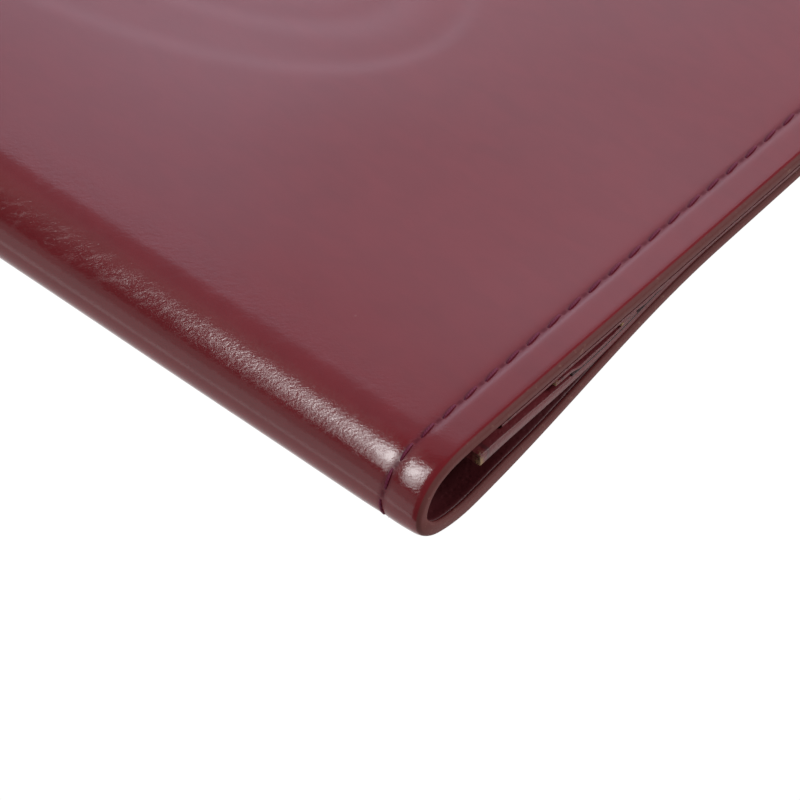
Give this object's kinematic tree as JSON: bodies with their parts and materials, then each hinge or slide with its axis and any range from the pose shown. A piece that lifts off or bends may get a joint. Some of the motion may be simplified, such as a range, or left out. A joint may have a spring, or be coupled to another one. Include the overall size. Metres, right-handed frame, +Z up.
{
  "type": "long wallet",
  "caption": "Long bifold wallet of polished burgundy leather that opens flat along its long side, with a note pocket, a receipt pocket and stepped card pockets.",
  "frame": {"origin": "middle of the closed wallet's footprint, on the surface that it lies on", "axes": "+X along the fold, +Y from the fold to the open edge, +Z up through the front half"},
  "size_m": [0.19, 0.098, 0.0082],
  "materials": {
    "polished_leather": "burgundy calf, polished to a high gloss",
    "lining_leather": "burgundy smooth leather, satin",
    "pocket_leather": "burgundy smooth leather, satin, painted edges",
    "pocket_cloth": "burgundy plain-weave cloth",
    "fibre_board": "bonded leather-fibre board, matt",
    "seam_thread": "waxed bonded thread, burgundy"
  },
  "bodies": {
    "back_half": {"back_cover_leather": "polished_leather", "back_stiffener": "fibre_board", "back_lining": "lining_leather", "back_seam_thread": "seam_thread", "note_pocket_panel": "pocket_leather", "note_pocket_lining": "pocket_cloth", "card_pocket_backing": "pocket_cloth", "card_pocket_1": "pocket_leather", "card_pocket_2": "pocket_leather", "card_pocket_3": "pocket_leather", "card_pocket_4": "pocket_leather", "card_divider_thread": "seam_thread"},
    "lower_spine": {"lower_spine_leather": "polished_leather", "lower_spine_lining": "lining_leather", "lower_spine_thread": "seam_thread"},
    "upper_spine": {"upper_spine_leather": "polished_leather", "upper_spine_lining": "lining_leather", "upper_spine_thread": "seam_thread"},
    "front_half": {"front_cover_leather": "polished_leather", "front_stiffener": "fibre_board", "front_lining": "lining_leather", "front_seam_thread": "seam_thread", "front_pocket_panel": "pocket_leather", "front_pocket_lining": "pocket_cloth", "receipt_pocket": "pocket_leather"}
  },
  "joints": [
    {"name": "fold_lower_bend", "type": "hinge", "parent": "back_half", "child": "lower_spine", "pos_m": [0, -0.04695, 0.00055], "axis": [1, 0, 0], "range_deg": [0, 60.4]},
    {"name": "fold_middle_bend", "type": "hinge", "parent": "lower_spine", "child": "upper_spine", "pos_m": [0, -0.049, 0.0041], "axis": [1, 0, 0], "range_deg": [0, 60.4]},
    {"name": "fold_upper_bend", "type": "hinge", "parent": "upper_spine", "child": "front_half", "pos_m": [0, -0.04695, 0.00765], "axis": [1, 0, 0], "range_deg": [0, 60.4]}
  ],
  "couplings": [
    {"joint": "fold_middle_bend", "follows": "fold_lower_bend", "ratio": 1},
    {"joint": "fold_upper_bend", "follows": "fold_lower_bend", "ratio": 1}
  ]
}
